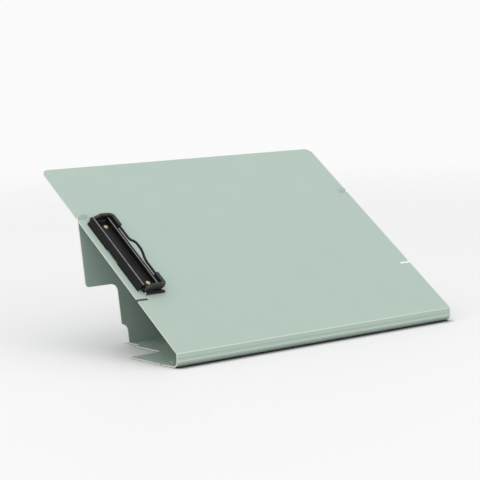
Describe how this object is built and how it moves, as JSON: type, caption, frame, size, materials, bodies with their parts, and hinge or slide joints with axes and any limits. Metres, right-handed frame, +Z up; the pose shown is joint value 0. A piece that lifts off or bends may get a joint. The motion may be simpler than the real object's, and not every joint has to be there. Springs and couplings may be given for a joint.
{
  "type": "portable drawing board",
  "caption": "Folding table-top drawing board: a creased plastic sheet forms a tilted board, lip, base and leg with hook-in ears, and a wire-bail paper clip is riveted along one edge.",
  "frame": {"origin": "centre of the object's own box on the surface it stands on", "axes": "+X to the user's right, +Y away from the user, +Z up"},
  "size_m": [0.45, 0.2726, 0.2148],
  "materials": {
    "green_sheet": "fine matt grain polypropylene, pale sage green",
    "black_steel": "satin black coated pressed steel",
    "black_wire": "satin black coated spring wire",
    "black_rubber": "smooth moulded rubber",
    "spring_steel": "plain steel",
    "rivet_brass": "pale satin brass"
  },
  "bodies": {
    "base": {"base_panel": "green_sheet"},
    "lip": {"front_lip": "green_sheet"},
    "board": {"board_panel": "green_sheet", "clip_base_plate": "black_steel", "clip_cover": "black_steel", "bail_spring_near": "spring_steel", "bail_spring_far": "spring_steel", "clip_rivets": "rivet_brass", "rivet_washers": "spring_steel"},
    "leg": {"leg_panel": "green_sheet"},
    "bail": {"clip_bail": "black_wire", "bail_sleeve_near": "black_rubber", "bail_sleeve_far": "black_rubber"}
  },
  "joints": [
    {"name": "board_crease", "type": "hinge", "parent": "lip", "child": "board", "pos_m": [0, -0.13556, 0.017], "axis": [1, 0, 0], "range_deg": [0, 82]},
    {"name": "lip_crease", "type": "hinge", "parent": "base", "child": "lip", "pos_m": [0, -0.13556, 0.008], "axis": [1, 0, 0], "range_deg": [0, 8.2]},
    {"name": "leg_crease", "type": "hinge", "parent": "base", "child": "leg", "pos_m": [0, 0.03444, 0.0015], "axis": [1, 0, 0], "range_deg": [0, 93.5]},
    {"name": "bail_pivot", "type": "hinge", "parent": "board", "child": "bail", "pos_m": [-0.2102, -0.00299, 0.11993], "axis": [0, -0.809, -0.5878], "range_deg": [0, 105], "stiffness_Nm_per_rad": 0.06, "springref_deg": -34.38}
  ],
  "couplings": [
    {"joint": "lip_crease", "follows": "board_crease", "ratio": 0.1},
    {"joint": "leg_crease", "follows": "board_crease", "ratio": 1.14}
  ]
}
